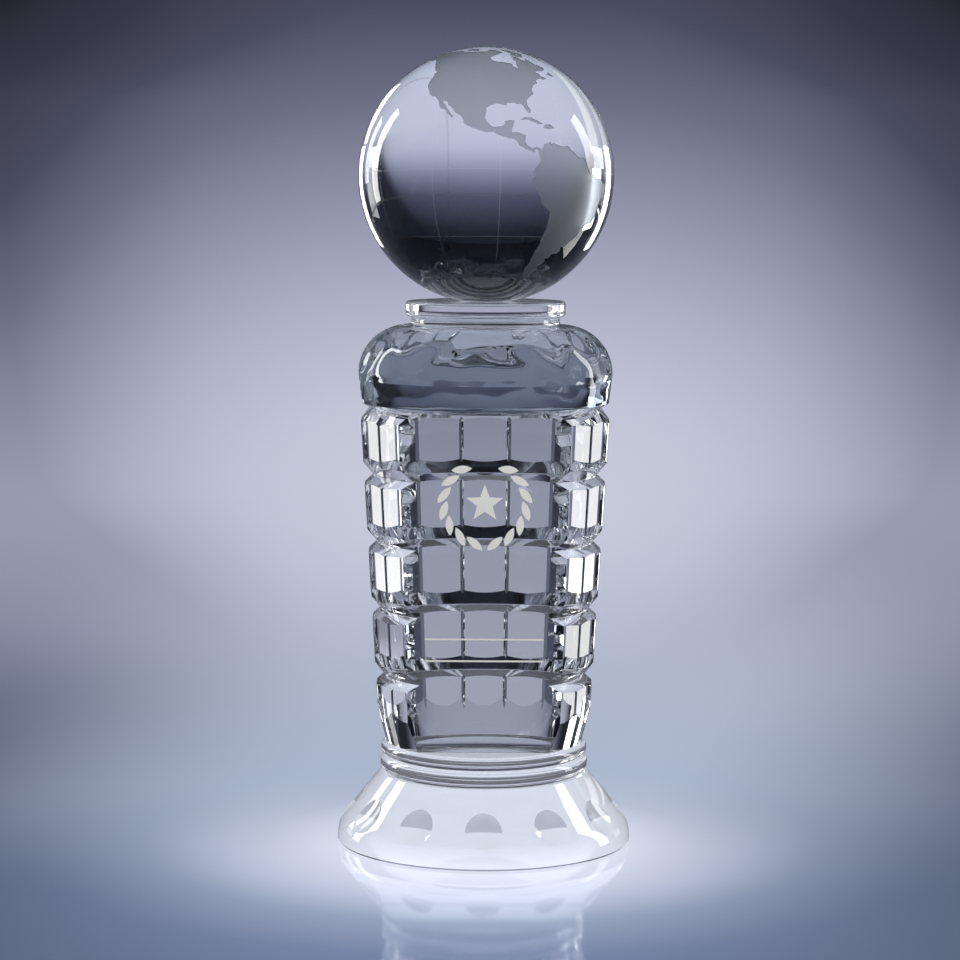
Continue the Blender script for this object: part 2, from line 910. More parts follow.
def cut(body: Object, tools: Sequence[Mesh]) -> Mesh:
    """Cuts tool meshes out of an object, one after the other.

    Args:
        body: Object to cut.
        tools: Meshes to cut away.

    Returns:
        The mesh that is left.
    """
    helpers = []
    for tool in tools:
        helper = new_piece(tool.name, tool, ())
        modifier = body.modifiers.new(tool.name, "BOOLEAN")
        modifier.operation = "DIFFERENCE"
        modifier.solver = "EXACT"
        modifier.object = helper
        helpers.append(helper)
    graph = bpy.context.evaluated_depsgraph_get()
    left = bpy.data.meshes.new_from_object(body.evaluated_get(graph))
    body.modifiers.clear()
    for helper in helpers:
        mesh = helper.data
        bpy.data.objects.remove(helper)
        bpy.data.meshes.remove(mesh)
    return left


def weld(mesh: Mesh, gap: float = 4e-6) -> None:
    """Joins the points that a cut leaves closer together than a gap in metres.

    Args:
        mesh: Mesh to weld.
        gap: Distance in metres.
    """
    made = bmesh.new()
    made.from_mesh(mesh)
    bmesh.ops.remove_doubles(made, verts=made.verts, dist=gap)
    bmesh.ops.dissolve_degenerate(made, edges=made.edges, dist=gap / 2)
    to_mesh(made, mesh)


Prism = tuple[Sequence[Sequence[float]], Matrix, float, float]
Normal = Callable[[Vector], Vector]


def prisms(name: str, parts: Sequence[Prism]) -> Mesh:
    """Upright prisms in one mesh.

    Args:
        name: Name of the mesh.
        parts: Outline in millimetres, placement, lower and upper height of each prism.

    Returns:
        The mesh in metres.
    """
    made = bmesh.new()
    for outline, place, low, high in parts:
        rings = [[made.verts.new((place @ Vector((x, y, z))) * MM) for x, y in outline] for z in (low, high)]
        made.faces.new(rings[0][::-1])
        made.faces.new(rings[1])
        for k in range(len(outline)):
            j = (k + 1) % len(outline)
            made.faces.new((rings[0][k], rings[0][j], rings[1][j], rings[1][k]))
    return to_mesh(made, bpy.data.meshes.new(name))


def set_normals(mesh: Mesh, surface_of: Callable[[Vector, Vector], tuple[Normal, Face]]) -> None:
    """Gives every face of a cut mesh its kind and the exact normals of its surface.

    Args:
        mesh: Mesh to dress.
        surface_of: For a face's middle in millimetres and its normal, the normal function and kind.
    """
    normals: list[Vector] = []
    kinds: list[int] = []
    for polygon in mesh.polygons:
        normal_at, kind = surface_of(polygon.center / MM, polygon.normal)
        kinds.append(kind.value)
        for v in polygon.vertices:
            normals.append(normal_at(mesh.vertices[v].co / MM))
    mesh.polygons.foreach_set("material_index", kinds)
    mesh.polygons.foreach_set("use_smooth", [True] * len(kinds))
    mesh.normals_split_custom_set(normals)


def turned_normal(runs: Sequence[Run], base: float) -> Callable[[Vector], Normal]:
    """Finds the normals of a turned surface.

    Args:
        runs: The section that was turned.
        base: Height of its zero.

    Returns:
        A function that gives the normal function for a face's middle.
    """
    starts = np.array([r.start for r in runs])
    steps = np.array([r.end for r in runs]) - starts
    sizes = np.maximum((steps**2).sum(1), 1e-12)
    n0 = np.array([r.start_normal for r in runs])
    n1 = np.array([r.end_normal for r in runs])

    def find(middle: Vector) -> Normal:
        """Picks the run that a face lies on.

        Args:
            middle: Middle of the face.

        Returns:
            The normal function of that run.
        """
        p = np.array((math.hypot(middle.x, middle.y), middle.z - base))
        t = np.clip(((p - starts) * steps).sum(1) / sizes, 0, 1)
        away = ((starts + steps * t[:, None] - p) ** 2).sum(1)
        k = int(np.argmin(away))

        def normal(at: Vector) -> Vector:
            """Normal at a point of that run.

            Args:
                at: The point.

            Returns:
                The unit normal.
            """
            q = np.array((math.hypot(at.x, at.y), at.z - base))
            s = float(np.clip(((q - starts[k]) @ steps[k]) / sizes[k], 0, 1))
            n = n0[k] * (1 - s) + n1[k] * s
            size = max(math.hypot(at.x, at.y), 1e-9)
            return Vector((n[0] * at.x / size, n[0] * at.y / size, n[1])).normalized()

        return normal

    return find


@dataclass
class Collar:
    """Stepped collar under the globe."""

    radius: float = 31.4
    step: float = 2.3
    lower_height: float = 3.4
    height: float = 9.3
    rounding: float = 1.2
    upper_bond: float = 10.5
    lower_bond: float = 27.4
    segments: int = 320

    def build(self, base: float) -> Mesh:
        """Turns the collar with its underside at a height.

        Args:
            base: Height of the underside.

        Returns:
            The finished mesh.
        """
        low = self.radius - self.step
        section = Section()
        section.line(self.lower_bond, 0, face=Face.BONDED)
        section.line(low, 0, self.rounding).line(low, self.lower_height, self.rounding)
        section.line(low - self.rounding, self.lower_height)
        section.line(self.radius, self.lower_height, self.rounding)
        section.line(self.radius, self.height, self.rounding)
        section.line(self.upper_bond, self.height).line(0, self.height, face=Face.BONDED)
        return turned_mesh("collar_crystal", section.runs(), self.segments, base)


@dataclass
class Shoulder:
    """Domed shoulder that overhangs the column."""

    radius: float = 49.95
    height: float = 32.0
    rounding: float = 18.9
    edge_radius: float = 48.65
    relief: float = 1.7
    lip_rounding: float = 0.7
    under_radius: float = 45.5
    upper_bond: float = 27.4
    lower_bond: float = 45.0
    panel_reach: float = 35.4
    segments: int = 400

    def build(self, base: float) -> Mesh:
        """Turns the shoulder with its underside at a height.

        Args:
            base: Height of the underside.

        Returns:
            The finished mesh.
        """
        section = Section()
        section.line(self.lower_bond, 0, face=Face.BONDED)
        section.line(self.under_radius, 0).line(self.edge_radius, self.relief, self.lip_rounding)
        section.line(self.radius, self.height - self.rounding)
        section.line(self.radius, self.height, self.rounding)
        section.line(self.upper_bond, self.height).line(0, self.height, face=Face.BONDED)
        front = math.acos(self.panel_reach / self.lower_bond)
        return turned_mesh("shoulder_crystal", section.runs(), self.segments, base, {0.0: front})


@dataclass
class Waist:
    """Two ring mouldings between the column and the foot."""

    lower_radius: float = 41.1
    upper_radius: float = 40.85
    lower_height: float = 6.7
    upper_height: float = 5.2
    bulge: float = 1.7
    upper_bond: float = 38.3
    lower_bond: float = 38.9
    panel_reach: float = 28.5
    segments: int = 360

    def build(self, base: float) -> Mesh:
        """Turns the rings with their underside at a height.

        Args:
            base: Height of the underside.

        Returns:
            The finished mesh.
        """
        low, high = self.lower_radius - self.bulge, self.upper_radius - self.bulge
        top = self.lower_height + self.upper_height
        section = Section()
        section.line(self.lower_bond, 0, face=Face.BONDED).line(low, 0)
        section.bow(low, self.lower_height, self.bulge).line(high, self.lower_height)
        section.bow(high, top, self.bulge)
        section.line(self.upper_bond, top).line(0, top, face=Face.BONDED)
        front = math.acos(self.panel_reach / self.upper_bond)
        return turned_mesh("waist_crystal", section.runs(), self.segments, base, {top: front})


@dataclass
class Foot:
    """Flared foot with a ring of round dimples."""

    radius: float = 58.1
    height: float = 28.0
    top_radius: float = 41.0
    rounding: float = 14.0
    rim_height: float = 2.0
    rim_chamfer: float = 0.8
    ground_share: float = 0.9
    bond: float = 38.9
    dimple_count: int = 12
    dimple_diameter: float = 17.0
    dimple_depth: float = 1.3
    dimple_height: float = 13.6
    dimple_tool: float = 1.3
    dimple_slack: float = 0.04
    ground_inset: float = 2.5
    rim_rounding: float = 0.4
    top_rounding: float = 0.3
    seam: float = 0.1
    segments: int = 400

    def flare(self) -> float:
        """Angle above the level at which the flare leaves the rounding."""
        reach = (self.top_radius - self.radius + self.rounding, self.height - self.rim_height)
        return math.atan2(reach[1], reach[0]) - math.acos(self.rounding / math.hypot(*reach))

    def section(self) -> Section:
        """Half section of the foot before the dimples.

        Returns:
            The section.
        """
        knee = self.rim_height + self.rounding * math.tan(self.flare() / 2)
        section = Section()
        section.line(self.radius - self.ground_inset, 0, face=Face.GROUND)
        section.line(self.radius - self.rim_chamfer, 0)
        section.line(self.radius, self.rim_chamfer, self.rim_rounding)
        section.line(self.radius, knee, self.rounding)
        section.line(self.top_radius, self.height, self.top_rounding)
        return section.line(self.bond, self.height).line(0, self.height, face=Face.BONDED)

    def build(self, base: float) -> Mesh:
        """Turns the foot and grinds its dimples.

        Args:
            base: Height of the underside.

        Returns:
            The finished mesh.
        """
        runs = self.section().runs()
        body = new_piece("foot_blank", turned_mesh("foot_blank", runs, self.segments, base), ())
        tilt = self.flare()
        at_r = self.top_radius + (self.height - self.dimple_height) / math.tan(math.pi / 2 - tilt)
        half = self.dimple_diameter / 2
        ball = (half**2 + self.dimple_depth**2) / (2 * self.dimple_depth)
        out = Vector((math.cos(tilt), 0, math.sin(tilt)))
        centre = Vector((at_r, 0, self.dimple_height + base)) + out * (ball - self.dimple_depth)
        turns = [2 * math.pi * k / self.dimple_count - math.pi / 2 for k in range(self.dimple_count)]
        centres = [Matrix.Rotation(a, 3, "Z") @ centre for a in turns]
        axes = [Matrix.Rotation(a, 3, "Z") @ -out for a in turns]
        left = cut(body, [self.caps(centres, axes, ball, half * self.dimple_tool)])
        bpy.data.objects.remove(body)
        turned = turned_normal(runs, base)
        top = base + self.height

        def surface(middle: Vector, facing: Vector) -> tuple[Normal, Face]:
            """Tells a dimple from the turned surface.

            Args:
                middle: Middle of a face.
                facing: Its normal.

            Returns:
                The normal function and the kind of the face.
            """
            for c in centres:
                on_ball = abs((middle - c).length - ball) < self.dimple_slack
                if on_ball and (c - middle).normalized().dot(facing) > FACING:
                    return (lambda at: (c - at).normalized()), Face.DIMPLED
            reach = math.hypot(middle.x, middle.y)
            if middle.z > top - TOUCH and reach < self.bond - self.seam:
                return turned(middle), Face.BONDED
            if middle.z < base + self.rim_chamfer * self.ground_share:
                kind = Face.GROUND if reach < self.radius - self.ground_inset - self.seam else Face.RIM
                return turned(middle), kind
            return turned(middle), Face.POLISHED

        set_normals(left, surface)
        left.name = "foot_crystal"
        return left

    @staticmethod
    def caps(centres: Sequence[Vector], axes: Sequence[Vector], ball: float, half: float) -> Mesh:
        """Closed ball caps that grind the dimples.

        Args:
            centres: Centres of the balls.
            axes: Directions from the centres to the caps' tips.
            ball: Radius of the balls.
            half: Radius of the caps' edges.

        Returns:
            The mesh in metres.
        """
        made = bmesh.new()
        rings, segments = 14, 56
        circle = [2 * math.pi * j / segments for j in range(segments)]
        for centre, axis in zip(centres, axes):
            turn = axis.to_track_quat("Z", "Y")
            edge = math.asin(half / ball)
            tip = made.verts.new((centre + axis * ball) * MM)
            loops = []
            for k in range(1, rings + 1):
                a = edge * k / rings
                out, up = ball * math.sin(a), ball * math.cos(a)
                ring = [Vector((out * math.cos(t), out * math.sin(t), up)) for t in circle]
                loops.append([made.verts.new((centre + turn @ v) * MM) for v in ring])
            for j in range(segments):
                i = (j + 1) % segments
                made.faces.new((tip, loops[0][j], loops[0][i]))
                for a, b in zip(loops, loops[1:]):
                    made.faces.new((a[j], b[j], b[i], a[i]))
            made.faces.new(loops[-1][::-1])
        return to_mesh(made, bpy.data.meshes.new("dimples"))


@dataclass
class Column:
    """Tapered column cut into blocks, with a flat engraved panel at the front."""

    top_radius: float = 49.7
    bottom_radius: float = 42.0
    rows: int = 5
    pitch: float = 26.5
    blocks: int = 16
    row_depth: float = 4.2
    row_upper: float = 5.4
    row_lower: float = 3.6
    upright_width: float = 1.8
    upright_depth: float = 1.1
    facet_depth: float = 0.8
    bevel_height: float = 15.3
    bevel_in: float = 3.2
    panel_top_cut: float = 13.8
    panel_bottom_cut: float = 13.0
    bevel_rounding: float = 0.6
    edge_rounding: float = 0.4
    groove_rounding: float = 0.25
    facet_tool: Pair = (8.0, 12.0)
    panel_tool: Pair = (60.0, 200.0)
    overrun: Pair = (1.0, 4.0)
    engraved_half: float = 26.0
    engraved_from: Pair = (20.0, 125.0)
    pocket_floor: Pair = (0.35, 0.29)
    flush: float = 0.004
    segments: int = 640

    def height(self) -> float:
        """Height of the column."""
        return self.rows * self.pitch

    def reach(self, z: float) -> float:
        """Radius before cutting, at a height."""
        return self.bottom_radius + (self.top_radius - self.bottom_radius) * z / self.height()

    def section(self) -> Section:
        """Half section with the level grooves.

        Returns:
            The section.
        """
        section = Section()
        section.line(self.bottom_radius - self.bevel_in, 0, face=Face.BONDED)
        section.line(self.reach(self.bevel_height), self.bevel_height, self.bevel_rounding)
        for k in range(1, self.rows):
            z = k * self.pitch
            section.line(self.reach(z - self.row_lower), z - self.row_lower, self.edge_rounding)
            section.line(self.reach(z) - self.row_depth, z, self.groove_rounding)
            section.line(self.reach(z + self.row_upper), z + self.row_upper, self.edge_rounding)
        top = self.height()
        section.line(self.reach(top - self.row_upper), top - self.row_upper, self.edge_rounding)
        section.line(self.top_radius - self.row_depth, top)
        return section.line(0, top, face=Face.BONDED)

    def build(self, base: float, fill: Object) -> Mesh:
        """Turns the column, cuts its uprights and panel and engraves it.

        Args:
            base: Height of its underside.
            fill: The fill of the engraving, whose pockets are cut.

        Returns:
            The finished mesh.
        """
        runs = self.section().runs()
        body = new_piece("column_blank", turned_mesh("column_blank", runs, self.segments, base), ())
        top = self.height()
        lean = math.atan((self.top_radius - self.bottom_radius) / top)
        w, d = self.upright_width / 2, self.upright_depth
        outline = ((-d, 0), (d, -2 * w), (d, 2 * w))

        def around(turn: float, depth: float) -> Matrix:
            """Frame on the leaning side.

            Args:
                turn: Turn from the front, counted in blocks.
                depth: Depth below the side.

            Returns:
                The frame.
            """
            angle = 2 * math.pi * turn / self.blocks - math.pi / 2
            foot = Matrix.Translation((self.bottom_radius - depth, 0, base))
            return Matrix.Rotation(angle, 4, "Z") @ foot @ Matrix.Rotation(lean, 4, "Y")

        places = [around(k + 0.5, 0.0) for k in range(self.blocks)]
        facets = [around(k, self.facet_depth) for k in range(self.blocks)]
        span = (-self.overrun[0], top + self.overrun[1])
        uprights = prisms("uprights", [(outline, p, *span) for p in places])
        deep, wide = self.facet_tool
        outside = ((0, -wide), (deep, -wide), (deep, wide), (0, wide))
        flats = [prisms("flats", [(outside, p, *span) for p in facets[k::2]]) for k in (0, 1)]
        low = self.bottom_radius - self.panel_bottom_cut
        tilt = math.atan((self.top_radius - self.panel_top_cut - low) / top)
        face = Matrix.Translation((0, -low, base)) @ Matrix.Rotation(math.pi / 2 + tilt, 4, "X")
        wide, high = self.panel_tool
        slab = ((-wide, -wide), (wide, -wide), (wide, high), (-wide, high))
        panel = prisms("panel", [(slab, face, 0.0, wide)])
        left = cut(body, [*flats, uprights, panel, self.pockets(fill, face)])
        weld(left)
        bpy.data.objects.remove(body)
        planes = [(face.to_3x3() @ Vector((0, 0, 1)), face.translation, Face.PANEL)]
        planes += [(p.to_3x3() @ Vector((1, 0, 0)), p.translation, Face.POLISHED) for p in facets]
        for p in places:
            for side in (-1, 1):
                n = Vector((-2 * w, side * 2 * d, 0)).normalized()
                planes.append(((p.to_3x3() @ -n).normalized(), p @ Vector((-d, 0, 0)), Face.GROOVED))
        turned = turned_normal(runs, base)
        back = face.inverted()
        deepest, deep_wall = self.pocket_floor
        low_edge, high_edge = self.engraved_from

        def surface(middle: Vector, facing: Vector) -> tuple[Normal, Face]:
            """Tells the planes from the turned surface.

            Args:
                middle: Middle of a face.
                facing: Its normal.

            Returns:
                The normal function and the kind of the face.
            """
            if middle.z < base + TOUCH or middle.z > base + top - TOUCH:
                return (lambda at: facing), Face.BONDED
            for n, through, kind in planes:
                if abs(facing.dot(n)) > ALIGNED and abs((middle - through).dot(n)) < self.flush:
                    return (lambda at: facing), kind
            p = back @ middle
            cut_in = -deepest < p.z < -self.flush
            pocket = abs(facing.dot(planes[0][0])) > NEARLY_ALIGNED or p.z > -deep_wall
            if cut_in and pocket and abs(p.x) < self.engraved_half and low_edge < p.y < high_edge:
                return (lambda at: facing), Face.POLISHED
            return turned(middle), Face.POLISHED

        set_normals(left, surface)
        left.name = "column_crystal"
        return left

    @staticmethod
    def pockets(fill: Object, face: Matrix) -> Mesh:
        """A copy of the fill that reaches out of the panel, to cut its pockets with.

        Args:
            fill: The fill of the engraving.
            face: Frame of the panel.

        Returns:
            The mesh in metres.
        """
        mesh = fill.data.copy()
        mesh.name = "pockets"
        skin, proud = 0.05, Vector((0, 0, 0.4))
        back = face.inverted()
        for v in mesh.vertices:
            p = back @ (v.co / MM)
            if p.z > -skin:
                v.co = (face @ (p + proud)) * MM
        made = bmesh.new()
        made.from_mesh(mesh)
        bmesh.ops.remove_doubles(made, verts=made.verts, dist=1e-7)
        mesh.materials.clear()
        return to_mesh(made, mesh)


# Coasts of the etched map, each as longitude and latitude in degrees by turns.
LANDS = (
    # Americas
    (-168, 65.6, -161, 64.5, -165, 62.5, -165, 60.5, -162, 59, -158, 58.5, -161, 56, -164, 54.6, -158, 56,
     -154, 58.3, -152, 60.5, -148, 60, -144, 60, -139.5, 59.6, -136, 58.2, -133, 55.5, -130.5, 54.3, -128,
     51.5, -125.5, 50, -123.2, 49, -124.7, 48.2, -124, 46.2, -124.4, 43, -124.2, 40.4, -122.6, 37.8, -121.8,
     36.6, -120.6, 34.5, -118.4, 33.9, -117.2, 32.5, -116, 30.5, -115.2, 28, -112.3, 25.9, -111.9, 24.6,
     -110, 22.9, -109.5, 23.6, -110.8, 25, -111.5, 26.4, -112.8, 28.2, -114.2, 30, -114.6, 31.7, -113.1,
     31.2, -112.1, 29, -110.6, 27.6, -109.4, 25.7, -107.6, 24.3, -106.2, 22.8, -105.4, 21.4, -105.6, 20.4,
     -104.3, 19.1, -102.2, 17.9, -99.8, 16.8, -97, 15.8, -94.8, 16.2, -92.3, 14.5, -90, 13.7, -87.7, 13.1,
     -86.5, 11.8, -85.8, 10.2, -84.8, 9.7, -83.6, 8.5, -82.5, 8.2, -80.5, 7.3, -80.1, 8.2, -79.3, 8.8,
     -78.2, 7.9, -77.8, 7, -77.4, 5.5, -77.2, 3.9, -78.8, 1.7, -80, 0.6, -80.8, -1, -80.9, -2.2, -80, -3.3,
     -81.3, -4.7, -80.5, -6, -79.6, -7.8, -78.2, -10, -76.3, -13.5, -76, -14.7, -73.5, -16.2, -71.3, -17.7,
     -70.3, -18.5, -70.2, -21, -70.5, -24, -71, -27.5, -71.5, -30.5, -71.6, -33.2, -72.6, -35.8, -73.5,
     -37.4, -73.3, -39.5, -73.8, -41.5, -73.5, -43, -74.5, -45.5, -75.5, -47, -75, -49.5, -74.3, -51.8,
     -72.5, -53.6, -70, -55, -67.2, -55.6, -65.5, -54.7, -68.2, -53, -68.8, -52.2, -69, -50.5, -67.6, -49,
     -65.8, -47.8, -67.5, -46, -67, -45, -65.2, -44, -63.9, -42.6, -65, -41.2, -62.3, -40.8, -62.1, -39,
     -58, -38.3, -56.8, -36.8, -57.2, -35.5, -58.2, -34.3, -56.2, -34.9, -54.5, -34.8, -53.4, -33.5, -51,
     -31, -48.7, -28.2, -48.5, -26, -46.5, -24, -44, -23, -42, -22.9, -40.9, -21.5, -39.8, -19.5, -39.2,
     -17.5, -39, -14, -38.4, -12.9, -37, -11, -35.3, -9.3, -34.8, -7.2, -35.3, -5.3, -37, -4.8, -38.5, -3.7,
     -40.5, -2.8, -43, -2.5, -44.5, -2.8, -46.5, -1, -48.2, -1.4, -50, 0.2, -50.8, 1.8, -51.7, 4, -53.5,
     5.6, -57, 6, -58.8, 7.5, -60.5, 8.5, -62, 10.5, -64.5, 10.3, -67.5, 10.6, -70, 11.7, -71.3, 10.9,
     -71.7, 12.3, -73.3, 11.3, -75, 11, -75.6, 9.8, -76.8, 8.5, -78, 9.3, -79.8, 9.5, -81.5, 8.9, -83, 10,
     -83.7, 11.5, -83.4, 14.8, -86, 15.9, -88.3, 15.8, -88.2, 17.5, -87.5, 19.5, -87, 21.4, -88.5, 21.5,
     -90.4, 21.1, -90.7, 19.6, -91.9, 18.6, -94.2, 18.2, -95.8, 18.9, -97.2, 20.8, -97.8, 22.5, -97.3, 25.8,
     -97.2, 27.7, -95.2, 29, -93.8, 29.7, -91.5, 29.4, -89.4, 29, -89.3, 30.2, -87, 30.4, -85, 29.7, -83.8,
     30, -82.8, 28.5, -82.2, 26.8, -81.2, 25.2, -80.4, 25.3, -80.1, 26.8, -81.3, 29.8, -81.2, 31.6, -79.2,
     33.2, -77.9, 34, -75.7, 35.3, -76.2, 37, -75.1, 38.6, -74.1, 39.7, -73.7, 40.7, -71.5, 41.4, -70.1,
     41.8, -70.8, 43, -68.5, 44.3, -66.2, 44.9, -64.8, 45.3, -66, 43.7, -63.5, 44.6, -61, 45.6, -64.5, 46.5,
     -64.8, 48.2, -67.5, 49.2, -64, 50.2, -60, 50.2, -57, 51.4, -55.8, 53, -57.8, 54.8, -61.3, 56.5, -62.5,
     58.5, -64.7, 60.3, -67, 58.5, -69.8, 59, -72, 61.5, -77.5, 62.5, -78, 60, -76.8, 57.2, -79, 54.8,
     -79.3, 51.6, -82, 53, -82.5, 55.2, -87.5, 56.5, -92.5, 57, -94.5, 58.8, -93.5, 61.8, -90.5, 63.5, -87,
     65, -83, 67.5, -86, 69.5, -95, 71.2, -97, 68.3, -108, 67.8, -115, 68, -121, 69.6, -127, 70, -135, 69.2,
     -141, 69.8, -150, 70.6, -156.5, 71.2, -163, 69.5, -166.5, 68.3, -162, 66.3),
    # Africa
    (-6, 35, 3, 37, 10, 37, 11, 34, 19, 30, 23, 33, 32, 31, 36, 23, 39, 15, 43, 11, 51, 12, 47, 4, 41, -2,
     39, -7, 41, -15, 35, -20, 35, -24, 31, -30, 26, -34, 19, -34, 15, -26, 12, -17, 14, -11, 9, -1, 9, 4,
     4, 6, -8, 4, -13, 8, -17, 14, -17, 21, -13, 28, -9, 32),
    # Eurasia
    (-9, 38, -9, 43, -2, 43, -1, 46, -4, 48, 2, 51, 8, 54, 8, 57, 11, 57, 11, 54, 19, 54, 23, 59, 29, 60,
     22, 60, 22, 64, 25, 66, 17, 61, 17, 57, 13, 56, 11, 59, 6, 58, 6, 62, 14, 68, 25, 71, 40, 68, 35, 66,
     44, 67, 54, 69, 68, 69, 71, 73, 82, 73, 104, 77, 113, 74, 130, 71, 141, 73, 160, 70, 178, 69, 190, 66,
     179, 63, 163, 59, 157, 51, 156, 57, 163, 62, 154, 59, 142, 59, 136, 54, 141, 52, 136, 44, 128, 40, 129,
     36, 126, 35, 125, 39, 121, 39, 118, 39, 122, 37, 119, 35, 122, 31, 118, 24, 110, 21, 106, 19, 109, 13,
     105, 9, 101, 13, 99, 10, 103, 4, 103, 1, 99, 7, 98, 13, 94, 16, 91, 22, 87, 21, 82, 19, 80, 17, 76, 17,
     73, 19, 72, 21, 67, 25, 58, 26, 51, 28, 48, 30, 51, 25, 56, 26, 59, 22, 52, 16, 44, 13, 40, 20, 35, 28,
     36, 36, 28, 37, 27, 40, 35, 42, 41, 41, 37, 45, 31, 46, 28, 42, 24, 40, 23, 37, 19, 41, 13, 45, 18, 40,
     16, 38, 12, 42, 9, 44, 3, 43, 0, 39, -5, 37),
    # Australia
    (114, -22, 116, -32, 116, -35, 124, -33, 131, -31, 138, -35, 141, -38, 147, -38, 150, -37, 153, -30,
     152, -25, 146, -19, 142, -11, 141, -17, 136, -15, 137, -12, 131, -12, 128, -15, 122, -18),
    # Antarctica
    (-57, -64, -61, -72, -45, -78, -25, -75, 0, -70, 40, -69, 55, -66, 75, -69, 95, -66, 130, -66, 160, -70,
     167, -78, 205, -78, 230, -74, 260, -73, 290, -72),
    # Greenland
    (-44, 60, -53, 66, -55, 71, -69, 76, -62, 81, -35, 83, -19, 80, -22, 71, -38, 66),
    # Arctic islands
    (-66, 62, -62, 66, -70, 71, -88, 73, -80, 70, -74, 66, -78, 64),
    (-80, 76, -92, 79, -86, 82, -65, 82, -74, 79),
    (-104, 69, -117, 69, -118, 72, -106, 73),
    # Newfoundland
    (-59, 48, -53, 47, -55, 50),
    # Cuba
    (-84.9, 21.9, -83, 23, -80.5, 23.1, -77, 21.8, -74.3, 20.3, -77.5, 19.9, -77.6, 20.7, -81.5, 22.1,
     -83.2, 22),
    # Hispaniola
    (-74.4, 18.5, -72.5, 18.2, -71.5, 17.8, -68.5, 18.4, -70, 19.7, -73, 19.9),
    # Iceland
    (-23, 64, -23, 66, -15, 66, -18, 63),
    # Britain
    (-5, 50, 0, 51, 1, 53, -2, 57, -3, 59, -6, 58, -3, 54, -5, 52),
    # Ireland
    (-7, 52, -10, 52, -8, 55, -7, 55),
    # Madagascar
    (49, -12, 50, -16, 47, -25, 44, -24, 44, -17),
    # Japan
    (130, 31, 131, 34, 138, 37, 141, 42, 145, 44, 141, 36, 136, 34),
    # Sumatra
    (95, 6, 104, -2, 106, -6, 102, -4),
    # Borneo
    (109, 2, 117, 7, 119, 5, 116, -4, 110, -3),
    # Luzon
    (120, 16, 121, 18, 122, 18, 124, 13, 121, 14),
    # New Guinea
    (131, -1, 141, -3, 150, -10, 143, -9, 138, -7, 133, -4),
    # New Zealand
    (173, -35, 178, -38, 174, -43, 169, -47, 167, -45, 173, -41),
)


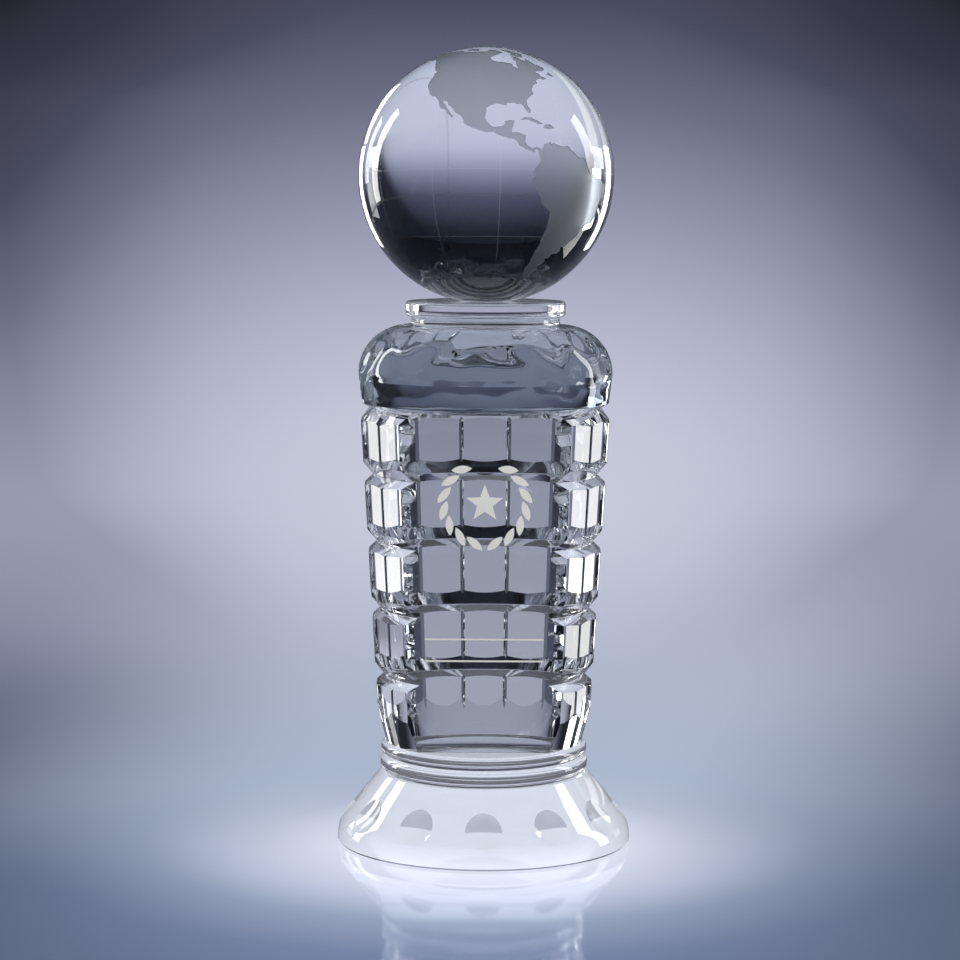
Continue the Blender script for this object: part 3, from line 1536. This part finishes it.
@dataclass
class Globe:
    """Solid globe with a sand-etched map, drawn wider about its front, and a scribed graticule."""

    radius: float = 50.0
    flat_radius: float = 11.0
    bond: float = 10.5
    etch: float = 0.3
    grid: float = 1.7
    line_width: float = 0.26
    front_longitude: float = -97.2
    drawn_from: tuple[float, ...] = (-180, -168, -70.8, -27.5, -12.8, 0, 16.2, 25, 45, 62.2, 174, 180)
    drawn_to: tuple[float, ...] = (-180, -161, -77, -36.5, -16.4, 0, 20.8, 28.8, 49.2, 66.6, 164, 180)
    lean_deg: float = 3.0
    graticule_start: float = 6.0
    rough_coast: float = 0.11
    finest: float = 0.022
    seed: int = 5
    parallels: tuple[int, ...] = (-60, -30, 0, 30, 60)
    meridians: int = 6
    meridian_step: float = 30.0
    meridian_end: float = 70.0
    ring_twist: float = 0.37
    rim_points: int = 96
    rim_margin: float = 0.01
    land_margin: float = 0.012
    fewest_points: int = 8
    meridian_arc: float = 2.5

    def tilt(self) -> np.ndarray:
        """The lean of the map towards the front, as a matrix."""
        return np.array(Matrix.Rotation(math.radians(-self.lean_deg), 3, "X"))

    @staticmethod
    def parallel(north: float, ring: np.ndarray) -> np.ndarray:
        """Unit vectors at a latitude, for angles round the axis."""
        flat, up = math.cos(north), math.sin(north)
        return np.stack([flat * np.cos(ring), flat * np.sin(ring), 0 * ring + up], 1)

    def coasts(self) -> list[np.ndarray]:
        """Coast loops as unit vectors, with small bays and capes between the given points.

        Returns:
            The loops.
        """
        dice = random.Random(self.seed)
        tilt = self.tilt()
        loops = []
        for coast in LANDS:
            points = [self.aim(self.drawn(e), n) for e, n in zip(coast[::2], coast[1::2])]
            fine: list[np.ndarray] = []
            for a, b in zip(points, points[1:] + points[:1]):
                fine += self.wander(a, b, dice)
            loops.append(np.array(fine) @ tilt.T)
        return loops

    def drawn(self, longitude: float) -> float:
        """Angle east of the front at which a longitude is drawn."""
        east = (longitude - self.front_longitude + 180) % 360 - 180
        return float(np.interp(east, self.drawn_from, self.drawn_to))

    @staticmethod
    def aim(east: float, north: float) -> np.ndarray:
        """Unit vector at an angle east of the front and a latitude."""
        a, n = math.radians(east - 90), math.radians(north)
        return np.array((math.cos(n) * math.cos(a), math.cos(n) * math.sin(a), math.sin(n)))

    def wander(self, a: np.ndarray, b: np.ndarray, dice: random.Random) -> list[np.ndarray]:
        """Points from a up to b, moved sideways by halves.

        Args:
            a: Unit vector at the start.
            b: Unit vector at the end.
            dice: Source of the draws.

        Returns:
            The unit vectors in order, without b.
        """
        gap = float(np.linalg.norm(b - a))
        if gap < self.finest:
            return [a]
        side = np.cross(a, b - a)
        middle = (a + b) / 2 + side * dice.uniform(-1, 1) * self.rough_coast
        middle /= np.linalg.norm(middle)
        return self.wander(a, middle, dice) + self.wander(middle, b, dice)

    def lines(self) -> list[tuple[np.ndarray, bool]]:
        """Both edges of every graticule line, as unit vectors, and whether they close.

        Returns:
            The edges, each with whether it closes.
        """
        half = self.line_width / 2 / self.radius
        tilt = self.tilt()
        made = []
        for north in self.parallels:
            for side in (-half, half):
                n = math.radians(north) + side
                count = int(2 * math.pi * math.cos(n) * self.radius / self.grid)
                ring = np.linspace(0, 2 * math.pi, count, endpoint=False)
                made.append((self.parallel(n, ring) @ tilt.T, True))
        count = int(self.meridian_arc * self.radius / self.grid)
        run = np.radians(np.linspace(-self.meridian_end, self.meridian_end, count))[:, None]
        up = np.array((0, 0, 1.0))
        for k in range(self.meridians):
            out = self.aim(self.graticule_start + self.meridian_step * k, 0)
            side = np.cross(up, out)
            for shift in (-half, half):
                for sign in (-1, 1):
                    arc = sign * np.cos(run) * out + np.sin(run) * up + side * shift
                    arc /= np.linalg.norm(arc, axis=1)[:, None]
                    made.append((arc @ tilt.T, False))
        return made

    @staticmethod
    def flatten(unit: np.ndarray) -> np.ndarray:
        """Stereographic picture of unit vectors, seen from the south pole."""
        return unit[:, :2] / (1 + unit[:, 2:3])

    @staticmethod
    def lift(flat: np.ndarray) -> np.ndarray:
        """Unit vectors of a stereographic picture."""
        square = (flat**2).sum(1, keepdims=True)
        return np.concatenate([2 * flat, 1 - square], 1) / (1 + square)

    @staticmethod
    def inside(points: np.ndarray, loop: np.ndarray) -> np.ndarray:
        """Whether points lie inside a closed loop of the plane.

        Args:
            points: Points of the plane.
            loop: Corners of the loop.

        Returns:
            True for every point inside.
        """
        hit = np.zeros(len(points), bool)
        near = ((points >= loop.min(0)) & (points <= loop.max(0))).all(1)
        x, y = points[near].T
        odd = np.zeros(len(x), bool)
        for (x0, y0), (x1, y1) in zip(loop, np.roll(loop, -1, 0)):
            if y0 != y1:
                cross = (y0 > y) != (y1 > y)
                odd ^= cross & (x < (x1 - x0) * (y - y0) / (y1 - y0) + x0)
        hit[near] = odd
        return hit

    def build(self, base: float) -> Mesh:
        """Meshes the globe round its coasts and lines, and sinks the land.

        Args:
            base: Height of the flat under the globe.

        Returns:
            The finished mesh.
        """
        drop = math.sqrt(self.radius**2 - self.flat_radius**2)
        south = math.asin(drop / self.radius)
        points: list[np.ndarray] = []
        edges: list[tuple[int, int]] = []

        def chain(unit: np.ndarray, closed: bool) -> None:
            """Adds a line that the mesh has to follow.

            Args:
                unit: Unit vectors along the line.
                closed: Whether the line closes.
            """
            first = sum(len(p) for p in points)
            points.append(unit)
            n = len(unit)
            edges.extend((first + k, first + (k + 1) % n) for k in range(n if closed else n - 1))

        rings = int((math.pi / 2 + south) * self.radius / self.grid)
        for k in range(1, rings + 1):
            north = math.pi / 2 - (math.pi / 2 + south) * k / rings
            count = max(self.fewest_points, int(2 * math.pi * math.cos(north) * self.radius / self.grid))
            count = self.rim_points if k == rings else count
            ring = np.linspace(0, 2 * math.pi, count, endpoint=False) + self.ring_twist * k
            unit = self.parallel(north, ring)
            if k == rings:
                first = sum(len(p) for p in points)
                rim = range(first, first + count)
                chain(unit, True)
            else:
                points.append(unit)
        coasts = self.coasts()
        lowest = self.rim_margin - math.sin(south)
        for loop in coasts:
            keep = loop[:, 2] > lowest
            chain(loop if keep.all() else loop[keep], True)
        for unit, closed in self.lines():
            if (unit[:, 2] > lowest).all():
                chain(unit, closed)
        flat = self.flatten(np.concatenate(points))
        verts, _, tris, origins, *_ = delaunay_2d_cdt([Vector(p) for p in flat], edges, [], 0, 1e-6)
        found = {given: k for k, givens in enumerate(origins) for given in givens}
        plane = np.array([tuple(v) for v in verts])
        tri = np.array(tris)
        unit = self.lift(plane)
        middle = unit[tri].mean(1)
        middle /= np.linalg.norm(middle, axis=1)[:, None]
        land = np.zeros(len(tri), bool)
        seen = self.flatten(middle)
        for loop in coasts:
            shore = self.flatten(loop)
            polar = self.inside(np.zeros((1, 2)), shore)[0]
            land |= self.inside(seen, shore) != polar
        land &= middle[:, 2] > self.land_margin - math.sin(south)
        self.part_pinches(tri, land)
        solid, index = self.shell(unit, tri, land, self.scribed(middle), base + drop)
        self.close(solid, [index[(found[k], False)] for k in rim], base)
        return solid.mesh("globe_crystal")

    @staticmethod
    def part_pinches(tri: np.ndarray, land: np.ndarray) -> None:
        """Turns land into sea where two stretches of land touch at a single point.

        Args:
            tri: Triangles.
            land: Whether each triangle is land, set in place.
        """
        while True:
            shore: dict[tuple[int, int], int] = {}
            for t in tri[land]:
                for a, b in ((0, 1), (1, 2), (2, 0)):
                    edge = (min(t[a], t[b]), max(t[a], t[b]))
                    shore[edge] = shore.get(edge, 0) + 1
            ends = [v for edge, count in shore.items() if count == 1 for v in edge]
            points, counts = np.unique(ends, return_counts=True)
            if (counts == 2).all():
                return
            land &= ~np.isin(tri, points[counts > 2]).any(1)

    def scribed(self, middle: np.ndarray) -> np.ndarray:
        """Whether unit vectors lie on a graticule line.

        Args:
            middle: The unit vectors.

        Returns:
            True for every vector on a line.
        """
        tilt = self.tilt()
        p = middle @ tilt
        half = self.line_width / 2 / self.radius
        north = np.arcsin(np.clip(p[:, 2], -1, 1))
        on = np.zeros(len(p), bool)
        for n in self.parallels:
            on |= np.abs(north - math.radians(n)) < half
        for k in range(self.meridians):
            side = np.cross((0, 0, 1), self.aim(self.graticule_start + self.meridian_step * k, 0))
            on |= (np.abs(p @ side) < half) & (np.abs(north) < math.radians(self.meridian_end))
        return on

    def shell(
        self, unit: np.ndarray, tri: np.ndarray, land: np.ndarray, line: np.ndarray, centre: float
    ) -> tuple[Solid, dict[tuple[int, bool], int]]:
        """The curved faces, with the land sunk and walls along its coasts.

        Args:
            unit: Directions of the points.
            tri: Triangles.
            land: Whether each triangle is land.
            line: Whether each triangle is on a graticule line.
            centre: Height of the globe's centre.

        Returns:
            The open shell, and its vertices by point and whether they are sunk.
        """
        solid = Solid()
        index: dict[tuple[int, bool], int] = {}

        def vertex(v: int, sunk: bool) -> int:
            """Vertex at a direction, on the surface or on the sunk land.

            Args:
                v: Number of the direction.
                sunk: Whether it is on the sunk land.

            Returns:
                Index of the vertex.
            """
            if (v, sunk) not in index:
                index[(v, sunk)] = len(solid.points)
                p = unit[v] * (self.radius - self.etch * sunk)
                solid.points.append((p[0], p[1], p[2] + centre))
            return index[(v, sunk)]

        sides: dict[tuple[int, int], bool] = {}
        for t, sunk, scribe in zip(tri, land, line):
            a, b, c = (int(v) for v in t)
            if np.dot(np.cross(unit[b] - unit[a], unit[c] - unit[a]), unit[a]) < 0:
                b, c = c, b
            kind = Face.ETCHED if sunk else Face.SCRIBED if scribe else Face.POLISHED
            solid.add([vertex(v, bool(sunk)) for v in (a, b, c)], kind, [unit[v] for v in (a, b, c)])
            for e in ((a, b), (b, c), (c, a)):
                sides[e] = bool(sunk)
        for (a, b), sunk in sides.items():
            if sunk and sides.get((b, a)) is False:
                wall = [vertex(b, True), vertex(a, True), vertex(a, False), vertex(b, False)]
                n = np.cross(unit[b] - unit[a], unit[a])
                n = -n / np.linalg.norm(n)
                solid.add(wall, Face.ETCHED, [n] * 4)
        return solid, index

    def close(self, solid: Solid, outer: Sequence[int], base: float) -> None:
        """Adds the flat under the globe, inside the rim's vertices.

        Args:
            solid: The open shell.
            outer: Vertices of the rim.
            base: Height of the flat.
        """
        first = len(solid.points)
        n = len(outer)
        for k in outer:
            x, y, _ = solid.points[k]
            solid.points[k] = (x, y, base)
            share = self.bond / math.hypot(x, y)
            solid.points.append((x * share, y * share, base))
        down = [(0, 0, -1)]
        for k in range(n):
            j = (k + 1) % n
            solid.add((outer[k], first + k, first + j, outer[j]), Face.POLISHED, down * 4)
        solid.add([first + k for k in range(n)][::-1], Face.BONDED, down * n)


@dataclass
class Award:
    """The whole award, dressed piece by piece round the CAD frame."""

    frame: dict[str, Any]

    def build(self) -> list[Object]:
        """Builds and dresses every piece.

        Returns:
            The shown pieces.
        """
        clear = ClearCrystal("cut_crystal").material()
        ball = ClearCrystal("globe_crystal", tint=(0.90, 0.94, 1.0), ripple_depth=1e-6, haze=0.006).material()
        panel = ClearCrystal("panel_crystal", tint=(0.31, 0.33, 0.36)).material()
        groove = ClearCrystal("groove_crystal", tint=(0.12, 0.135, 0.16)).material()
        dome = ClearCrystal(
            "shoulder_crystal",
            tint=(0.255, 0.295, 0.345),
            ripple_scale=78.0,
            ripple_depth=2.2e-3,
            ripple_detail=0.0,
            calm_below=0.176,
        ).material()
        edge = ClearCrystal("rim_crystal", tint=(0.30, 0.32, 0.37)).material()
        bonded = BondedFace("bonded_face").material()
        ground = GroundFace("ground_face").material()
        hollow = DimpleCrystal("dimple_crystal", Foot().dimple_height * MM).material()
        frost = EtchedFrost("etched_frost").material()
        scribed = EtchedFrost(
            "scribed_line", (0.86, 0.89, 0.94), (0.96, 0.97, 1.0), transmission=0.9, roughness=0.12
        ).material()
        nodes = self.frame["nodes"]
        base = {n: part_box(n)[0].z / MM for n in nodes}
        fill = nodes["engraving_fill"]
        made = [
            self.dress("foot", Foot().build(base["foot"]), (clear, bonded, ground, hollow, edge), "crystal"),
            self.dress("waist", Waist().build(base["waist"]), (clear, bonded), "crystal"),
            self.dress(
                "column", Column().build(base["column"], fill), (clear, bonded, panel, groove), "crystal"
            ),
            self.dress("shoulder", Shoulder().build(base["shoulder"]), (dome, bonded), "crystal"),
            self.dress("collar", Collar().build(base["collar"]), (clear, bonded), "crystal"),
            self.dress(
                "globe", Globe().build(base["globe"]), (ball, bonded, frost, scribed), "globe_crystal"
            ),
        ]
        film = BondedFace("bond_film", tint=(0.97, 0.98, 0.985)).material()
        white = WhiteFill("engraving_white").material()
        for name, node in nodes.items():
            if name.endswith("_bond"):
                made.append(self.paint(node, film, "clear_bond"))
        made.append(self.paint(fill, white, "engraving_white"))
        return made

    @staticmethod
    def dress(node: str, mesh: Mesh, materials: Sequence[Material], slot: str) -> Object:
        """Shows a mesh in place of a CAD node.

        Args:
            node: Name of the CAD node.
            mesh: Mesh to show.
            materials: Its materials.
            slot: Name of its slot.

        Returns:
            The shown piece.
        """
        piece = new_piece(f"{node}_crystal" if node != "globe" else "etched_globe", mesh, materials)
        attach(piece, "root")
        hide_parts(node)
        return piece

    @staticmethod
    def paint(node: Object, material: Material, slot: str) -> Object:
        """Gives a CAD node its material.

        Args:
            node: Object of the CAD node.
            material: Its material.
            slot: Name of its slot.

        Returns:
            The shown piece.
        """
        node.data.materials.clear()
        node.data.materials.append(material)
        return node


@dataclass
class Softbox:
    """An upright or level soft lamp that looks at a point."""

    name: str
    place: tuple[float, float, float]
    size: Pair
    brightness: float
    target: tuple[float, float, float] = (0.0, 0.0, 0.2)
    lights: Optional[bpy.types.Collection] = None
    flat_at: Optional[float] = None

    def build(self) -> None:
        """Adds the lamp, which shows in glass, white at 1, only where it lights a collection alone."""
        data = bpy.data.lights.new(self.name, "AREA")
        data.shape = "RECTANGLE"
        data.size, data.size_y = self.size
        data.energy = self.brightness * math.pi * self.size[0] * self.size[1]
        lamp = bpy.data.objects.new(self.name, data)
        bpy.context.scene.collection.objects.link(lamp)
        lamp.location = self.place
        lamp.rotation_euler = (Vector(self.target) - lamp.location).to_track_quat("-Z", "Y").to_euler()
        if self.flat_at is not None:
            lamp.rotation_euler = (math.pi, 0.0, -self.flat_at)
        lamp.visible_camera = False
        if self.lights:
            lamp.light_linking.receiver_collection = self.lights
        else:
            lamp.visible_glossy = lamp.visible_transmission = False


@dataclass
class Studio:
    """Plain floor and wall, soft lamps and camera."""

    pieces: Sequence[Object]
    wall_reach: float = 1.55
    wall_height: float = 0.86
    cove: float = 0.3
    lens: float = 108.75
    distance: float = 1.139
    eye_height: float = 0.26363
    tilt_deg: float = 6.0137
    pan_px: float = 5.0
    roll_deg: float = 0.24
    sensor: float = 36.0
    image_px: int = 960
    cove_steps: int = 16
    segments: int = 180
    floor_gap: float = 0.0001
    floor_rings: Pair = (0.4, 0.8)
    soft_light: Colour = (0.9, 0.95, 1.0)
    soft_strength: float = 0.35
    dark_light: Colour = (0.3, 0.6, 1.0)
    dark_strength: float = 0.003

    def build(self) -> None:
        """Builds the stage, the light and the camera."""
        self.sweep()
        self.lamps()
        self.world()
        self.camera()

    def sweep(self) -> None:
        """A round floor just under the foot that curves up into a wall."""
        edge = self.wall_reach - self.cove
        profile = [(r, 0.0) for r in (0.0, *self.floor_rings, edge)]
        for k in range(1, self.cove_steps + 1):
            a = math.pi / 2 * k / self.cove_steps
            profile.append((edge + self.cove * math.sin(a), self.cove * (1 - math.cos(a))))
        profile.append((self.wall_reach, self.wall_height))
        made = bmesh.new()
        count = self.segments
        turns = [2 * math.pi * k / count for k in range(count)]
        rows = [
            [made.verts.new((r * math.sin(t), r * math.cos(t), z)) for t in (turns if r else turns[:1])]
            for r, z in profile
        ]
        for a, b in zip(rows, rows[1:]):
            for k in range(count):
                j = (k + 1) % count
                made.faces.new((a[0], b[j], b[k]) if len(a) == 1 else (a[k], a[j], b[j], b[k]))
        mesh = to_mesh(made, bpy.data.meshes.new("studio_sweep"))
        mesh.polygons.foreach_set("use_smooth", [True] * len(mesh.polygons))
        piece = new_piece("studio_sweep", mesh, [StudioSweep("studio_sweep").material()])
        piece.location.z = -self.floor_gap

    def lamps(self) -> None:
        """Tall, slim and low lamps at the sides that light only the award, and a soft fill from the front."""
        award = bpy.data.collections.new("award_pieces")
        for piece in self.pieces:
            award.objects.link(piece)
        for name, az, reach, size, low, bright in (
            ("right_lamp", 73.0, 1.15, (0.25, 1.0), 0.01, 6.0),
            ("left_lamp", -63.5, 1.15, (0.19, 1.0), 0.01, 8.0),
            ("left_slim_lamp", -46.5, 1.3, (0.19, 0.56), 0.2, 3.5),
            ("right_slim_lamp", 53.0, 1.3, (0.19, 0.46), 0.2, 0.5),
            ("left_low_lamp", -49.5, 1.3, (0.24, 0.19), 0.01, 1.0),
            ("right_low_lamp", 49.5, 1.3, (0.24, 0.19), 0.01, 1.0),
        ):
            a = math.radians(az)
            middle = low + size[1] / 2
            place = (reach * math.sin(a), reach * math.cos(a), middle)
            Softbox(name, place, size, bright, (0.0, 0.0, middle), award).build()
        a, reach, height = math.radians(68.0), 0.68, 0.004
        strip = (reach * math.sin(a), reach * math.cos(a), height)
        Softbox("right_floor_lamp", strip, (0.13, 0.78), 3.5, (strip[0], strip[1], 1.0), award, a).build()
        Softbox("front_fill", (0.25, -1.15, 1.0), (0.8, 0.8), 9.0).build()

    def world(self) -> None:
        """A dark room for glass and camera, with a plain soft light for matt surfaces."""
        world = bpy.data.worlds.new("room")
        bpy.context.scene.world = world
        world.use_nodes = True
        g = Graph(world.node_tree)
        lights = ((self.soft_light, self.soft_strength), (self.dark_light, self.dark_strength))
        soft, dark = (g.node("ShaderNodeBackground", inputs={"Color": c, "Strength": s}) for c, s in lights)
        g.surface(g.merge(g.looked_at(), soft, dark), "ShaderNodeOutputWorld")

    def camera(self) -> None:
        """The camera at the photograph's angle."""
        data = bpy.data.cameras.new("camera")
        data.lens = self.lens
        data.sensor_width = self.sensor
        data.clip_start, data.clip_end = 0.05, 50.0
        made = bpy.data.objects.new("camera", data)
        bpy.context.scene.collection.objects.link(made)
        focal = self.lens / self.sensor * self.image_px
        yaw = math.atan(self.pan_px / focal)
        level = math.pi / 2 - math.radians(self.tilt_deg)
        turn = Matrix.Rotation(yaw, 4, "Z") @ Matrix.Rotation(level, 4, "X")
        turn = turn @ Matrix.Rotation(math.radians(self.roll_deg), 4, "Z")
        made.matrix_world = Matrix.Translation((0.0, -self.distance, self.eye_height)) @ turn
        bpy.context.scene.camera = made


def set_paths() -> None:
    """Lets light pass through many crystal faces."""
    scene = bpy.context.scene
    scene.view_settings.view_transform = "Standard"
    scene.cycles.max_bounces = 40
    scene.cycles.transmission_bounces = 40
    scene.cycles.glossy_bounces = 16
    scene.cycles.transparent_max_bounces = 32
    scene.cycles.caustics_refractive = False
    scene.cycles.caustics_reflective = False


def main() -> None:
    """Builds the award and its studio."""
    logging.basicConfig(level=logging.INFO, format="%(name)s: %(message)s")
    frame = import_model()
    pieces = Award(frame).build()
    for piece in pieces:
        LOG.info("%s: %d faces", piece.name, len(piece.data.polygons))
    Studio(pieces).build()
    set_paths()


if __name__ == "__main__":
    main()
